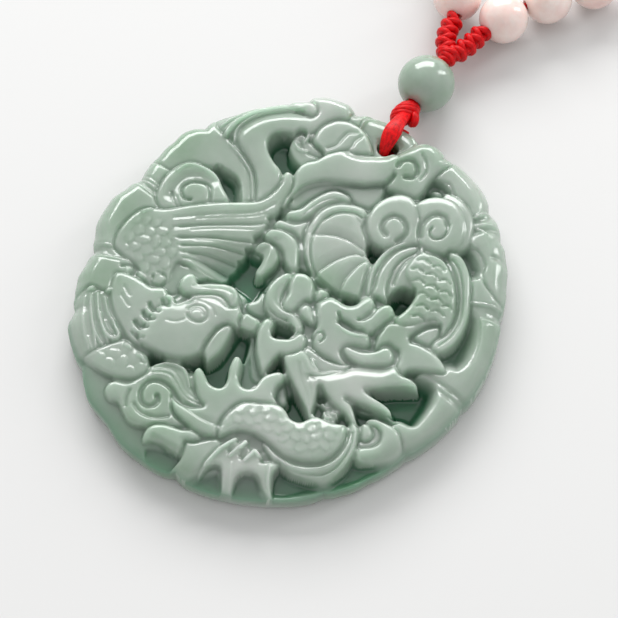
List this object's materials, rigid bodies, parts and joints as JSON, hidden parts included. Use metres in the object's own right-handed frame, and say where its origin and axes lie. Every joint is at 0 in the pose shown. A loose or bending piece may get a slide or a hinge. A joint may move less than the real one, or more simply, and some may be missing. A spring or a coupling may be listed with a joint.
{
  "type": "chinese jade pendant",
  "caption": "Round carved jade medallion with dragon and phoenix relief, on a red knotted cord with a jade bead and a necklace of pale pink beads.",
  "frame": {"origin": "middle of the carved disc on its flat back, in the plane on which the part lies", "axes": "+Z out of the back towards the carved face, +Y from the disc's middle to the cord hole and on along the necklace"},
  "size_m": [0.1916, 0.3217, 0.0082],
  "materials": {
    "jade": "polished",
    "bead_jade": "polished",
    "pink_stone": "polished",
    "red_satin": "satin braid"
  },
  "bodies": {
    "root": {"jade_medallion": "jade", "bail_cord": "red_satin", "bail_knot": "red_satin", "jade_bead": "bead_jade", "bead_cord": "red_satin", "fork_braid": "red_satin", "pink_beads_left": "pink_stone", "pink_beads_right": "pink_stone", "snake_knots_left": "red_satin", "snake_knots_right": "red_satin", "thread": "red_satin"}
  },
  "joints": []
}
